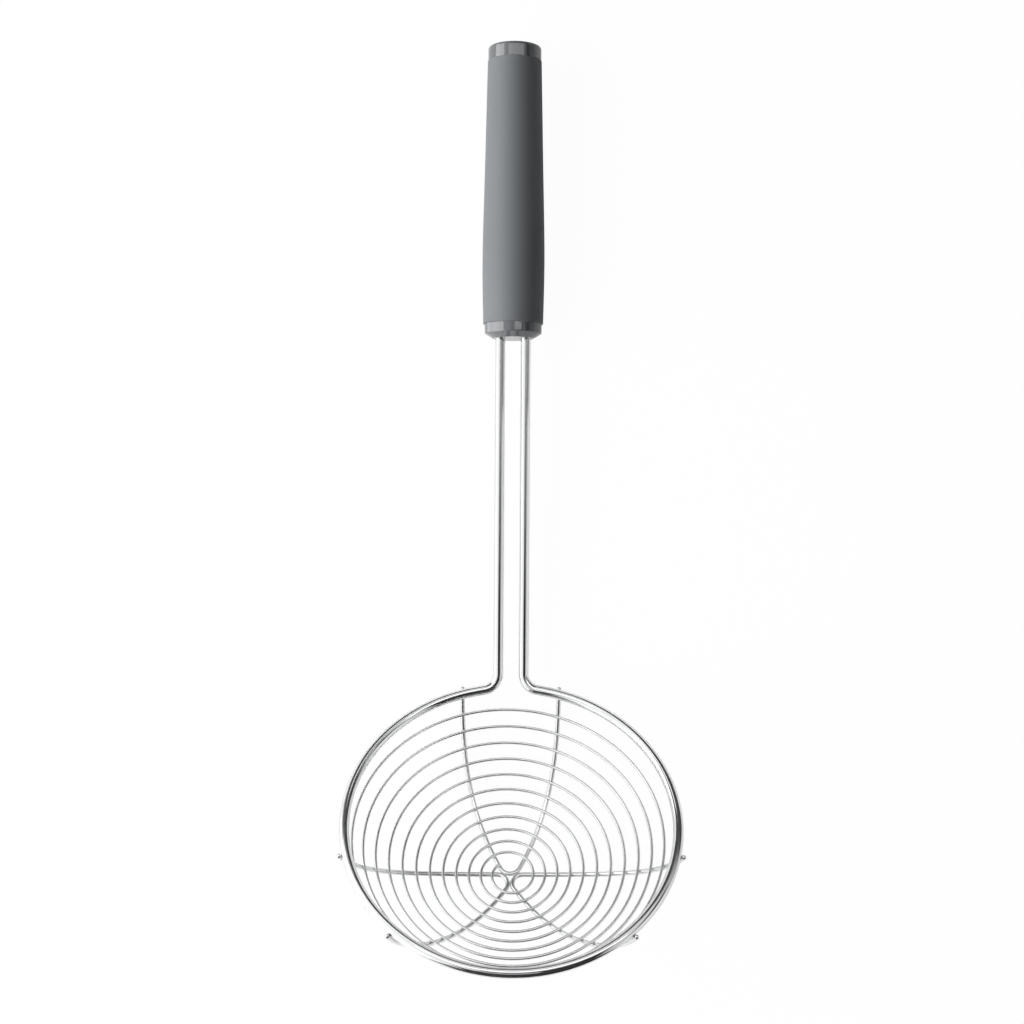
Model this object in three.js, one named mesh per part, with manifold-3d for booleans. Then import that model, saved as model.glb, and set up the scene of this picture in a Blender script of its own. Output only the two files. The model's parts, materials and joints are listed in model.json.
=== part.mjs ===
// Wire skimmer: a bowl of spiral wire on three V-shaped ribs, welded to a bent wire frame whose two rods run
// into a round handle with a soft sleeve between two glossy ends.
//
// Millimetres. The tool is drawn in the rim's own frame: the rim lies in the XY plane about the origin,
// +Y points to the handle and +Z out of the bowl. It is then laid on a table, Z = 0, as it lies at rest:
// on the rear rib's two legs and on the belly of the grip.
import * as THREE from 'three';
import { mergeVertices } from 'three/addons/utils/BufferGeometryUtils.js';
import Module from 'manifold-3d';

const degrees = THREE.MathUtils.degToRad;

// Frame wire: rim, neck bends, rods and tangs in one bent wire
const FRAME_WIRE = 4.2;
const RIM_RADIUS = 66;
const NECK_HALF_ANGLE = degrees(13);
const NECK_BEND_RADIUS = 6.7;
const ROD_SPACING = 10.6;
const ROD_LENGTH = 146.4;
const TANG_LENGTH = 58;
const HANDLE_RISE = degrees(41);

// Ribs: V-shaped wires pressed into the bowl's form
const RIB_NAMES = ['rear', 'left', 'right'];
const RIB_WIRE = 2;
const BOWL_DEPTH = 41.2;
const RIB_SEAT_ANGLE = degrees(21);
const RIB_END_LENGTH = 1.5;
const RIB_BEND_RADIUS = 4.2;
const RIB_SPLAY = degrees(28);
const RIB_END_SPACING = 40.4;

// Spiral wire, wound outwards from the hub on the inner side of the ribs
const SPIRAL_WIRE = 1.2;
const SPIRAL_START_RADIUS = 6.8;
const SPIRAL_START_AZIMUTH = degrees(133);
const SPIRAL_TURNS = 11.26;
const SPIRAL_RIM_DROP = 8.5;
const SPIRAL_PITCH_GROWTH = 1.66;

// Handle, from the ferrule's face to the butt
const FERRULE_LENGTH = 6;
const FERRULE_RADIUS = 12.05;
const FERRULE_FACE_RADIUS = 8.6;
const FERRULE_CHAMFER_LENGTH = 2.1;
const FERRULE_WALL = 3;
const GRIP_LENGTH = 110.7;
const GRIP_FRONT_RADIUS = 12.62;
const GRIP_BELLY_RADIUS = 13.05;
const GRIP_BELLY_DISTANCE = 28.4;
const GRIP_BUTT_RADIUS = 11.37;
const GRIP_EDGE_ROUND = 0.5;
const CORE_RADIUS = 9.2;
const CORE_SPIGOT_RADIUS = 7.6;
const CORE_SPIGOT_LENGTH = 3.4;
const CAP_LENGTH = 6.1;
const CAP_RADIUS = 11.2;
const CAP_EDGE_ROUND = 2.4;

// Clearances
const WELD_GAP = 0.3;
const FIT_GAP = 0.3;

// Faces
const FRAME_SIDES = 12;
const RIB_SIDES = 8;
const SPIRAL_SIDES = 6;
const SPIRAL_STEPS_PER_TURN = 24;
const RIM_STEPS = 72;
const BEND_STEPS = 8;
const LEG_STEPS = 22;
const TURNED_SIDES = 48;
const SOCKET_SIDES = 16;
const EDGE_STEPS = 5;

const wasm = await Module();
wasm.setup();

const steel = (roughness) => new THREE.MeshStandardMaterial({ color: 0xc8cacc, metalness: 1, roughness });
const glossyGrey = () => new THREE.MeshStandardMaterial({ color: 0x5d6064, metalness: 0, roughness: 0.22 });
const softGrey = () => new THREE.MeshStandardMaterial({ color: 0x66696d, metalness: 0, roughness: 0.8 });
const coreGrey = () => new THREE.MeshStandardMaterial({ color: 0x4b4d50, metalness: 0, roughness: 0.5 });

function named(name, geometry, material) {
  const mesh = new THREE.Mesh(geometry, material);
  mesh.name = name;
  return mesh;
}

// A wire's centre line as a chain of runs. Each run is cut into its own number of equal steps, so that
// straight runs stay plain and bends stay round.
class WirePath extends THREE.Curve {
  constructor(runs) {
    super();
    this.runs = runs;
    this.steps = runs.reduce((sum, run) => sum + run.steps, 0);
  }

  getPoint(t, target = new THREE.Vector3()) {
    let station = t * this.steps;
    let index = 0;
    while (index < this.runs.length - 1 && station > this.runs[index].steps) {
      station -= this.runs[index].steps;
      index += 1;
    }
    return target.copy(this.runs[index].at(station / this.runs[index].steps));
  }

  getUtoTmapping(u) {
    return u;
  }
}

function wireGeometry(path, diameter, sides) {
  const section = [];
  for (let i = 0; i < sides; i += 1) {
    const angle = (2 * Math.PI * i) / sides;
    section.push(new THREE.Vector2(Math.cos(angle), Math.sin(angle)).multiplyScalar(diameter / 2));
  }
  return new THREE.ExtrudeGeometry(new THREE.Shape(section), { steps: path.steps, extrudePath: path });
}

function straightRun(start, end, steps = 1) {
  return { steps, at: (share) => start.clone().lerp(end, share) };
}

// The same run on the other side of the tool, followed the other way.
function mirroredRun(run) {
  const flip = new THREE.Vector3(-1, 1, 1);
  return { steps: run.steps, at: (share) => run.at(1 - share).multiply(flip) };
}

// Frame wire
// The rim's end leaves the ring along its tangent, and a bend turns it up into the rod.
const handleDirection = new THREE.Vector3(0, Math.cos(HANDLE_RISE), Math.sin(HANDLE_RISE));
const rimEnd = new THREE.Vector3(Math.sin(NECK_HALF_ANGLE), Math.cos(NECK_HALF_ANGLE), 0).multiplyScalar(RIM_RADIUS);
const rimEndDirection = new THREE.Vector3(-Math.cos(NECK_HALF_ANGLE), Math.sin(NECK_HALF_ANGLE), 0);
const cornerDistance = (rimEnd.x - ROD_SPACING / 2) / Math.cos(NECK_HALF_ANGLE);
const neckCorner = rimEnd.clone().addScaledVector(rimEndDirection, cornerDistance);

function frameWire() {
  const turn = rimEndDirection.angleTo(handleDirection);
  const setback = NECK_BEND_RADIUS * Math.tan(turn / 2);
  const bendStart = neckCorner.clone().addScaledVector(rimEndDirection, -setback);
  const bendEnd = neckCorner.clone().addScaledVector(handleDirection, setback);
  const inward = handleDirection.clone().addScaledVector(rimEndDirection, -Math.cos(turn)).normalize();
  const tangEnd = neckCorner.clone().addScaledVector(handleDirection, ROD_LENGTH + TANG_LENGTH);

  const bend = {
    steps: BEND_STEPS,
    at: (share) => bendStart.clone()
      .addScaledVector(rimEndDirection, NECK_BEND_RADIUS * Math.sin(turn * share))
      .addScaledVector(inward, NECK_BEND_RADIUS * (1 - Math.cos(turn * share))),
  };
  const rim = {
    steps: RIM_STEPS,
    at: (share) => {
      const angle = NECK_HALF_ANGLE + 2 * (Math.PI - NECK_HALF_ANGLE) * (1 - share);
      return new THREE.Vector3(Math.sin(angle), Math.cos(angle), 0).multiplyScalar(RIM_RADIUS);
    },
  };
  const rightSide = [straightRun(rimEnd, bendStart), bend, straightRun(bendEnd, tangEnd)];
  const leftSide = rightSide.map(mirroredRun).reverse();
  return wireGeometry(new WirePath([...leftSide, rim, ...rightSide]), FRAME_WIRE, FRAME_SIDES);
}

// Bowl form
// The ribs' centre lines lie on a bowl whose meridian is an arc of an ellipse. It is BOWL_DEPTH deep and
// touches the outer lower side of the rim, one weld gap away, RIB_SEAT_ANGLE below the rim's plane.
const seatDistance = (FRAME_WIRE + RIB_WIRE) / 2 + WELD_GAP;
const seatRadius = RIM_RADIUS + seatDistance * Math.cos(RIB_SEAT_ANGLE);
const seatHeight = BOWL_DEPTH - seatDistance * Math.sin(RIB_SEAT_ANGLE);
const seatRise = Math.tan(RIB_SEAT_ANGLE) * seatHeight;
const seatCosine = seatRise / (seatRadius - seatRise);
const bowlSemiWidth = seatRadius / Math.sqrt(1 - seatCosine ** 2);
const bowlSemiHeight = seatHeight / (1 - seatCosine);
const bowlCentre = bowlSemiHeight - BOWL_DEPTH;
const wall = new THREE.EllipseCurve(0, bowlCentre, bowlSemiWidth, bowlSemiHeight, -Math.PI / 2, 0);

// The share of the wall's length at which the given measure of its points passes zero.
function wallShare(measure) {
  let low = 0;
  let high = 1;
  for (let i = 0; i < 40; i += 1) {
    const middle = (low + high) / 2;
    if (measure(wall.getPointAt(middle)) < 0) {
      low = middle;
    } else {
      high = middle;
    }
  }
  return (low + high) / 2;
}

const seatShare = wallShare((point) => point.x - seatRadius);

// Ribs
// Seen from above, a rib is a small bend at the hub whose two legs splay and then run on to the rim side by
// side. The bends of neighbouring ribs lie one weld gap apart.
function ribPath() {
  const neighbourAngle = Math.PI / RIB_NAMES.length;
  const bendCentre = (RIB_BEND_RADIUS + (RIB_WIRE + WELD_GAP) / 2) / Math.sin(neighbourAngle);
  const endRadius = wall.getPointAt(seatShare + RIB_END_LENGTH / wall.getLength()).x;
  const halfSpacing = RIB_END_SPACING / 2;
  const bendAngle = Math.PI / 2 - RIB_SPLAY;

  const legStart = new THREE.Vector2(
    bendCentre - RIB_BEND_RADIUS * Math.cos(bendAngle),
    RIB_BEND_RADIUS * Math.sin(bendAngle),
  );
  const legKnee = new THREE.Vector2(legStart.x + (halfSpacing - legStart.y) / Math.tan(RIB_SPLAY), halfSpacing);
  const legEnd = new THREE.Vector2(Math.sqrt(endRadius ** 2 - halfSpacing ** 2), halfSpacing);
  const legPlan = new THREE.QuadraticBezierCurve(legStart, legKnee, legEnd);

  // A plan point, measured along and across the rib, lifted to the bowl.
  const lifted = (along, across) => {
    const radius = Math.hypot(along, across);
    const height = bowlCentre - bowlSemiHeight * Math.sqrt(1 - (radius / bowlSemiWidth) ** 2);
    return new THREE.Vector3(across, along, height);
  };
  const bend = {
    steps: BEND_STEPS,
    at: (share) => {
      const angle = bendAngle * (2 * share - 1);
      return lifted(bendCentre - RIB_BEND_RADIUS * Math.cos(angle), RIB_BEND_RADIUS * Math.sin(angle));
    },
  };
  const rightLeg = {
    steps: LEG_STEPS,
    at: (share) => {
      const point = legPlan.getPoint(share);
      return lifted(point.x, point.y);
    },
  };
  return new WirePath([mirroredRun(rightLeg), bend, rightLeg]);
}

function ribs() {
  return RIB_NAMES.map((name, index) => {
    const rib = named(`rib_wire_${name}`, wireGeometry(ribPath(), RIB_WIRE, RIB_SIDES), steel(0.25));
    rib.rotation.z = (2 * Math.PI * index) / RIB_NAMES.length;
    return rib;
  });
}

// Spiral wire
// The wire climbs the wall at a pitch that grows evenly from the hub to the rim, one weld gap inside the ribs.
function spiralPath() {
  const inset = (RIB_WIRE + SPIRAL_WIRE) / 2 + WELD_GAP;
  const startShare = wallShare((point) => point.x - SPIRAL_START_RADIUS);
  const endShare = wallShare((point) => point.y + SPIRAL_RIM_DROP);
  const at = (share) => {
    const climb = (share * (2 + (SPIRAL_PITCH_GROWTH - 1) * share)) / (1 + SPIRAL_PITCH_GROWTH);
    const wallPlace = startShare + (endShare - startShare) * climb;
    const point = wall.getPointAt(wallPlace);
    const tangent = wall.getTangentAt(wallPlace);
    const radius = point.x - inset * tangent.y;
    const height = point.y + inset * tangent.x;
    const azimuth = SPIRAL_START_AZIMUTH + 2 * Math.PI * SPIRAL_TURNS * share;
    return new THREE.Vector3(radius * Math.cos(azimuth), radius * Math.sin(azimuth), height);
  };
  return new WirePath([{ steps: Math.round(SPIRAL_TURNS * SPIRAL_STEPS_PER_TURN), at }]);
}

// The least clear distance between turns, measured between points at least half a turn apart.
function leastSpiralGap(path) {
  const points = path.getSpacedPoints(path.steps);
  const halfTurn = SPIRAL_STEPS_PER_TURN / 2;
  let least = Infinity;
  for (let i = 0; i < points.length; i += 1) {
    for (let j = i + halfTurn; j < points.length; j += 1) {
      least = Math.min(least, points[i].distanceTo(points[j]));
    }
  }
  return least - SPIRAL_WIRE;
}

// Handle
// The handle's pieces are turned about their own Y axis, which starts at the neck corner and runs to the butt.
const ferruleFace = ROD_LENGTH;
const gripFront = ferruleFace + FERRULE_LENGTH + FIT_GAP;
const gripBack = gripFront + GRIP_LENGTH;
const capFront = gripBack + FIT_GAP;
const butt = capFront + CAP_LENGTH;

function turned(profile) {
  return new THREE.LatheGeometry(profile.map(([radius, along]) => new THREE.Vector2(radius, along)), TURNED_SIDES);
}

// Points of a quarter round about a centre, from one angle to another.
function quarterRound(radius, along, size, from, to) {
  const points = [];
  for (let i = 0; i <= EDGE_STEPS; i += 1) {
    const angle = from + ((to - from) * i) / EDGE_STEPS;
    points.push([radius + size * Math.cos(angle), along + size * Math.sin(angle)]);
  }
  return points;
}

function solid(geometry) {
  const bare = geometry.clone();
  bare.deleteAttribute('normal');
  bare.deleteAttribute('uv');
  const merged = mergeVertices(bare);
  return new wasm.Manifold(new wasm.Mesh({
    numProp: 3,
    vertProperties: new Float32Array(merged.attributes.position.array),
    triVerts: new Uint32Array(merged.index.array),
  }));
}

// The geometry with two sockets for the rods cut into it, from one place along the handle to another.
function withRodSockets(geometry, from, to) {
  const radius = FRAME_WIRE / 2 + FIT_GAP;
  let body = solid(geometry);
  for (const side of [-1, 1]) {
    const socket = new THREE.CylinderGeometry(radius, radius, to - from, SOCKET_SIDES);
    socket.translate((side * ROD_SPACING) / 2, (from + to) / 2, 0);
    body = body.subtract(solid(socket));
  }
  const cut = body.getMesh();
  const result = new THREE.BufferGeometry();
  result.setAttribute('position', new THREE.BufferAttribute(cut.vertProperties, 3));
  result.setIndex(new THREE.BufferAttribute(cut.triVerts, 1));
  return result;
}

function ferrule() {
  const back = ferruleFace + FERRULE_LENGTH;
  const floor = ferruleFace + FERRULE_WALL;
  const recess = CORE_RADIUS + FIT_GAP;
  const body = turned([
    [0, ferruleFace],
    [FERRULE_FACE_RADIUS, ferruleFace],
    [FERRULE_RADIUS, ferruleFace + FERRULE_CHAMFER_LENGTH],
    [FERRULE_RADIUS, back],
    [recess, back],
    [recess, floor],
    [0, floor],
  ]);
  return withRodSockets(body, ferruleFace - FERRULE_WALL, floor + FERRULE_WALL);
}

function handleCore() {
  const front = ferruleFace + FERRULE_WALL + FIT_GAP;
  const shoulder = gripBack;
  const spigotEnd = capFront + CORE_SPIGOT_LENGTH;
  const body = turned([
    [0, front],
    [CORE_RADIUS, front],
    [CORE_RADIUS, shoulder],
    [CORE_SPIGOT_RADIUS, shoulder],
    [CORE_SPIGOT_RADIUS, spigotEnd],
    [0, spigotEnd],
  ]);
  return withRodSockets(body, front - FERRULE_WALL, ferruleFace + TANG_LENGTH + FIT_GAP);
}

function gripSleeve() {
  const bore = CORE_RADIUS + FIT_GAP;
  const taperMiddle = (GRIP_BELLY_DISTANCE + GRIP_LENGTH) / 2;
  const outline = new THREE.SplineCurve([
    new THREE.Vector2(GRIP_FRONT_RADIUS, GRIP_EDGE_ROUND),
    new THREE.Vector2(GRIP_BELLY_RADIUS, GRIP_BELLY_DISTANCE),
    new THREE.Vector2((GRIP_BELLY_RADIUS + GRIP_BUTT_RADIUS) / 2, taperMiddle),
    new THREE.Vector2(GRIP_BUTT_RADIUS, GRIP_LENGTH - GRIP_EDGE_ROUND),
  ]);
  const side = outline.getPoints(3 * EDGE_STEPS).map((point) => [point.x, gripFront + point.y]);
  const frontRound = quarterRound(
    GRIP_FRONT_RADIUS - GRIP_EDGE_ROUND, gripFront + GRIP_EDGE_ROUND, GRIP_EDGE_ROUND, -Math.PI / 2, 0,
  );
  const backRound = quarterRound(
    GRIP_BUTT_RADIUS - GRIP_EDGE_ROUND, gripBack - GRIP_EDGE_ROUND, GRIP_EDGE_ROUND, 0, Math.PI / 2,
  );
  return turned([
    [bore, gripFront],
    ...frontRound,
    ...side.slice(1, -1),
    ...backRound,
    [bore, gripBack],
    [bore, gripFront],
  ]);
}

function endCap() {
  const recess = CORE_SPIGOT_RADIUS + FIT_GAP;
  const floor = capFront + CORE_SPIGOT_LENGTH + FIT_GAP;
  return turned([
    [0, floor],
    [recess, floor],
    [recess, capFront],
    [CAP_RADIUS, capFront],
    ...quarterRound(CAP_RADIUS - CAP_EDGE_ROUND, butt - CAP_EDGE_ROUND, CAP_EDGE_ROUND, 0, Math.PI / 2),
    [0, butt],
  ]);
}

// Assembly
const ribGroup = new THREE.Group();
ribGroup.add(...ribs());

const spiral = spiralPath();
console.log(`spiral wire: least gap to itself ${leastSpiralGap(spiral).toFixed(2)} mm`);

const handle = new THREE.Group();
handle.position.set(0, neckCorner.y, 0);
handle.rotation.x = HANDLE_RISE;
handle.add(
  named('ferrule', ferrule(), glossyGrey()),
  named('handle_core', handleCore(), coreGrey()),
  named('grip_sleeve', gripSleeve(), softGrey()),
  named('end_cap', endCap(), glossyGrey()),
);

const tool = new THREE.Group();
tool.add(
  named('frame_wire', frameWire(), steel(0.12)),
  ribGroup,
  named('spiral_wire', wireGeometry(spiral, SPIRAL_WIRE, SPIRAL_SIDES), steel(0.3)),
  handle,
);

// Laid on the table
// The tool is tipped about X until the ribs and the handle are equally low. It then stands on Z = 0 with the
// middle of its box over the origin.
const skimmer = new THREE.Group();
skimmer.add(tool);

function boxOf(object) {
  skimmer.updateMatrixWorld(true);
  return new THREE.Box3().setFromObject(object, true);
}

let flattest = 0;
let steepest = Math.PI / 2;
for (let i = 0; i < 40; i += 1) {
  tool.rotation.x = -(flattest + steepest) / 2;
  if (boxOf(ribGroup).min.z < boxOf(handle).min.z) {
    flattest = -tool.rotation.x;
  } else {
    steepest = -tool.rotation.x;
  }
}
const box = boxOf(tool);
const middle = box.getCenter(new THREE.Vector3());
tool.position.set(-middle.x, -middle.y, -box.min.z);

export default skimmer;
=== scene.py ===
# %% [markdown]
# # A wire skimmer
#
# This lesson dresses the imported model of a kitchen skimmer: a bowl of spiral wire on three V-shaped ribs,
# a polished wire frame, and a grey handle with a soft sleeve between two glossy ends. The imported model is
# coarse but true in size, so it serves as a frame. Each piece is drawn again here with numpy, finely
# enough for close views, in the same place and at the same size.

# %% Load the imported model
import json

import bmesh
import bpy
import numpy as np
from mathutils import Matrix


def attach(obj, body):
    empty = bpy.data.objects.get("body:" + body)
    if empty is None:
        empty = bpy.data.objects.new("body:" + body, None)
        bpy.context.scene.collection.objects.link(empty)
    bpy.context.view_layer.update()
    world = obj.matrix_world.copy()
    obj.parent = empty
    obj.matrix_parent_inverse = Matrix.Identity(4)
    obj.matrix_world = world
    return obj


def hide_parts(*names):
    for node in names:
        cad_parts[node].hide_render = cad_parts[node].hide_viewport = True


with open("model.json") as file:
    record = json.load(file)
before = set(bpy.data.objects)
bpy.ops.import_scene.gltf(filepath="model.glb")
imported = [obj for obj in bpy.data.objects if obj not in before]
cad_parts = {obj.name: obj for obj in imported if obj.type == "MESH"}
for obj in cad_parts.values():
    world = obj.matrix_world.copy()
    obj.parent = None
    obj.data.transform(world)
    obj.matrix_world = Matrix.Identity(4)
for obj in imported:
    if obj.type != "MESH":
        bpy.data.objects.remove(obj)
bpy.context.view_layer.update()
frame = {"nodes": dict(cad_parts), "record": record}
print("packed nodes:", sorted(frame["nodes"]))

# %% [markdown]
# ## Where the tool lies
#
# The wires are easiest to describe in the rim's own frame: the rim lies flat about the origin, +Y points
# to the handle and +Z out of the bowl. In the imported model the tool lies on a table, tipped about X. The
# record tells how far: its mount on the butt gives the handle's end and direction there, so the two
# frames can be matched without copying any numbers.

# %% The rim's frame and the table's frame
RIM_RADIUS = 0.066
ROD_SPACING = 0.0106
NECK_HALF_ANGLE = np.radians(13)
HANDLE_RISE = np.radians(41)
HANDLE_LENGTH = 0.2698

rim_end = RIM_RADIUS * np.array([np.sin(NECK_HALF_ANGLE), np.cos(NECK_HALF_ANGLE), 0])
rim_end_direction = np.array([-np.cos(NECK_HALF_ANGLE), np.sin(NECK_HALF_ANGLE), 0])
handle_direction = np.array([0, np.cos(HANDLE_RISE), np.sin(HANDLE_RISE)])
corner_distance = (rim_end[0] - ROD_SPACING / 2) / np.cos(NECK_HALF_ANGLE)
neck_corner = rim_end + corner_distance * rim_end_direction

butt = next(mount for mount in frame["record"]["mounts"] if mount["name"] == "butt_face")
lean = HANDLE_RISE - np.arctan2(butt["axis"][2], butt["axis"][1])
tip_matrix = np.array([
    [1, 0, 0],
    [0, np.cos(lean), np.sin(lean)],
    [0, -np.sin(lean), np.cos(lean)],
])
butt_in_rim_frame = neck_corner * [0, 1, 1] + HANDLE_LENGTH * handle_direction
rim_centre = np.array(butt["pos_m"]) - tip_matrix @ butt_in_rim_frame


def laid(points):
    """Points of the rim's frame on the table: turned about X by the lean, then moved to the rim's centre."""
    return points @ tip_matrix.T + rim_centre


print(f"the rim leans {np.degrees(lean):.2f} degrees, its centre is at {rim_centre.round(5)}")

# %% [markdown]
# ## From arrays to meshes
#
# Nearly every piece of this tool is a row of rings: a circle carried along a wire, or an outline spun
# about the handle. One function makes the faces for any such rows, as index arithmetic on a whole grid,
# and one puts the arrays into a mesh. Each vertex also keeps a `grain` vector: the cosine and sine of its
# place around the ring and its distance along it in metres. Finishes read it to draw lines that follow a
# wire and have no seam.


# %% Rings to faces, faces to pieces
def unit(vectors):
    """Vectors divided by their own lengths."""
    return vectors / np.linalg.norm(vectors, axis=-1, keepdims=True)


def skin(rings, tips=None):
    """Vertices and faces over rows of rings.

    Corner j of ring i is joined to j + 1 on the same ring and to both on ring i + 1. Two tips close the ends
    with fans of triangles. With no tips, the last ring is joined to the first.
    """
    rows, sides = rings.shape[:2]
    number = np.arange(rows * sides).reshape(rows, sides)
    across = np.roll(number, -1, axis=1)
    onward = np.stack([number, across, np.roll(across, -1, axis=0), np.roll(number, -1, axis=0)], axis=-1)
    if tips is None:
        return rings.reshape(-1, 3), onward.reshape(-1, 4).tolist()
    first_tip = np.full(sides, rows * sides)
    front_fan = np.stack([first_tip, across[0], number[0]], axis=-1)
    back_fan = np.stack([first_tip + 1, number[-1], across[-1]], axis=-1)
    faces = onward[:-1].reshape(-1, 4).tolist() + front_fan.tolist() + back_fan.tolist()
    return np.concatenate([rings.reshape(-1, 3), tips]), faces


def ring_grain(along, sides, tip_distances=()):
    """The grain of rows of rings: cosine and sine of each corner's angle, and its row's distance along."""
    angle = np.arange(sides) * 2 * np.pi / sides
    parts = np.broadcast_arrays(np.cos(angle), np.sin(angle), along[:, None])
    around = np.stack(parts, axis=-1).reshape(-1, 3)
    tips = np.array([[0, 0, distance] for distance in tip_distances]).reshape(-1, 3)
    return np.concatenate([around, tips])


def make_piece(name, vertices, faces, grain):
    """A smooth mesh object at the origin, with its grain kept on its vertices."""
    mesh = bpy.data.meshes.new(name)
    mesh.from_pydata(vertices.tolist(), [], faces)
    mesh.attributes.new("grain", "FLOAT_VECTOR", "POINT").data.foreach_set("vector", grain.ravel())
    mesh.polygons.foreach_set("use_smooth", np.ones(len(mesh.polygons), dtype=bool))
    mesh.update()
    piece = bpy.data.objects.new(name, mesh)
    bpy.context.collection.objects.link(piece)
    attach(piece, "root")
    print(f"{name}: {len(vertices)} vertices, {len(faces)} faces")
    return piece


# %% [markdown]
# ## A round wire
#
# A wire could be a curve object with a bevel, but then its ends would be flat and nothing would say which
# way is along. A swept circle is little more work: at each point of the centre line the circle needs two
# directions square to the line. A side direction that is never parallel to the line gives the first, and
# a cross product the second, so the rings cannot twist. The cut ends of real wire are tumbled round, so
# the circle shrinks there along a quarter arc.


# %% Sweep a circle along a line
END_STEPS = 6


def swept(line, side, diameter, sides):
    """A round wire along a line of points, as vertices, faces and grain.

    A ring point is centre + r * (cos(a) * first + sin(a) * second). First is the side direction less its part
    along the line, and second is square to both. At both ends, rings of radius r * cos(b) lie r * sin(b)
    further out.
    """
    radius = diameter / 2
    along = unit(np.gradient(line, axis=0))
    bulge = np.arange(1, END_STEPS) * np.pi / 2 / END_STEPS
    before = line[0] - along[0] * radius * np.sin(bulge[::-1, None])
    after = line[-1] + along[-1] * radius * np.sin(bulge[:, None])
    centre = np.concatenate([before, line, after])
    shrink = np.concatenate([np.cos(bulge[::-1]), np.ones(len(line)), np.cos(bulge)])
    ends = ((len(bulge), len(bulge)), (0, 0))
    along = np.pad(along, ends, mode="edge")
    side = np.pad(np.broadcast_to(side, line.shape), ends, mode="edge")

    first = unit(side - np.sum(side * along, axis=1, keepdims=True) * along)
    second = np.cross(along, first)
    angle = np.arange(sides)[:, None] * 2 * np.pi / sides
    circle = np.cos(angle) * first[:, None] + np.sin(angle) * second[:, None]
    rings = centre[:, None] + radius * shrink[:, None, None] * circle
    tips = np.stack([line[0] - along[0] * radius, line[-1] + along[-1] * radius])

    distance = np.concatenate([[0], np.cumsum(np.linalg.norm(np.diff(centre, axis=0), axis=1))])
    vertices, faces = skin(rings, tips)
    return laid(vertices), faces, ring_grain(distance, sides, (0, distance[-1]))


# %% [markdown]
# ## Frame wire
#
# One thick wire makes the rim, the neck, the rods and the tangs inside the handle. Its right half is
# enough to describe: half of the rim, a short straight to the neck, a bend, and a long straight. The left
# half is the same line mirrored. The rim's normal serves as the side direction all the way.

# %% Bend the frame wire
FRAME_WIRE = 0.0042
NECK_BEND_RADIUS = 0.0067
ROD_LENGTH = 0.1464
TANG_LENGTH = 0.058
FRAME_SIDES = 36
RIM_STEPS, NECK_STEPS, ROD_STEPS = 260, 28, 60


def frame_line():
    """Half a ring, its tangent, an arc into the handle's direction, and a straight rod, mirrored."""
    turn = np.arccos(rim_end_direction @ handle_direction)
    setback = NECK_BEND_RADIUS * np.tan(turn / 2)
    inward = unit(handle_direction - np.cos(turn) * rim_end_direction)
    bend_start = neck_corner - setback * rim_end_direction

    angle = np.linspace(np.pi, NECK_HALF_ANGLE, RIM_STEPS)[:, None]
    rim = RIM_RADIUS * np.concatenate([np.sin(angle), np.cos(angle), 0 * angle], axis=1)
    bent = np.linspace(0, turn, NECK_STEPS)[:, None]
    bend = bend_start + NECK_BEND_RADIUS * (np.sin(bent) * rim_end_direction + (1 - np.cos(bent)) * inward)
    reach = np.linspace(setback, ROD_LENGTH + TANG_LENGTH - FRAME_WIRE / 2, ROD_STEPS)[1:, None]
    right = np.concatenate([rim, bend, neck_corner + reach * handle_direction])
    return np.concatenate([right[:0:-1] * [-1, 1, 1], right])


frame_wire = make_piece("polished_frame", *swept(frame_line(), [0, 0, 1], FRAME_WIRE, FRAME_SIDES))
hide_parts("frame_wire")

# %% [markdown]
# ## The bowl's form
#
# The ribs are pressed to a bowl before they are welded under the rim. Its outline is an arc of an
# ellipse, as deep as the bowl, that meets the rim's outer side a little below its plane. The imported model
# leaves a thin gap at each weld. Here the wires bite into each other by a tenth of a millimetre instead,
# as welded wires do.

# %% The ellipse that the ribs follow
RIB_WIRE = 0.002
BOWL_DEPTH = 0.0412
RIB_SEAT_ANGLE = np.radians(21)
WELD_BITE = 0.0001
WALL_STEPS = 4001

seat_distance = (FRAME_WIRE + RIB_WIRE) / 2 - WELD_BITE
seat_radius = RIM_RADIUS + seat_distance * np.cos(RIB_SEAT_ANGLE)
seat_height = BOWL_DEPTH - seat_distance * np.sin(RIB_SEAT_ANGLE)
seat_rise = np.tan(RIB_SEAT_ANGLE) * seat_height
seat_cosine = seat_rise / (seat_radius - seat_rise)
bowl_semi_width = seat_radius / np.sqrt(1 - seat_cosine**2)
bowl_semi_height = seat_height / (1 - seat_cosine)
bowl_centre = bowl_semi_height - BOWL_DEPTH

wall_angle = np.linspace(0, np.pi / 2, WALL_STEPS)
wall_radius = bowl_semi_width * np.sin(wall_angle)
wall_height = bowl_centre - bowl_semi_height * np.cos(wall_angle)
wall_length = np.concatenate([[0], np.cumsum(np.hypot(np.diff(wall_radius), np.diff(wall_height)))])
seat_length = np.interp(seat_radius, wall_radius, wall_length)


def on_bowl(plan):
    """Plan points (x, y) lifted to the bowl: z = centre - b * sqrt(1 - (r / a)^2)."""
    reach = np.hypot(plan[:, 0], plan[:, 1]) / bowl_semi_width
    return np.column_stack([plan, bowl_centre - bowl_semi_height * np.sqrt(1 - reach**2)])


def bowl_normal(points):
    """The bowl's outward normal: each coordinate from its centre, divided by its squared half-axis."""
    half_axes = [bowl_semi_width, bowl_semi_width, bowl_semi_height]
    return unit((points - [0, 0, bowl_centre]) / np.square(half_axes))


print(f"bowl: half-axes {bowl_semi_width:.4f} and {bowl_semi_height:.4f} m, hub to seat {seat_length:.4f} m")

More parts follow.
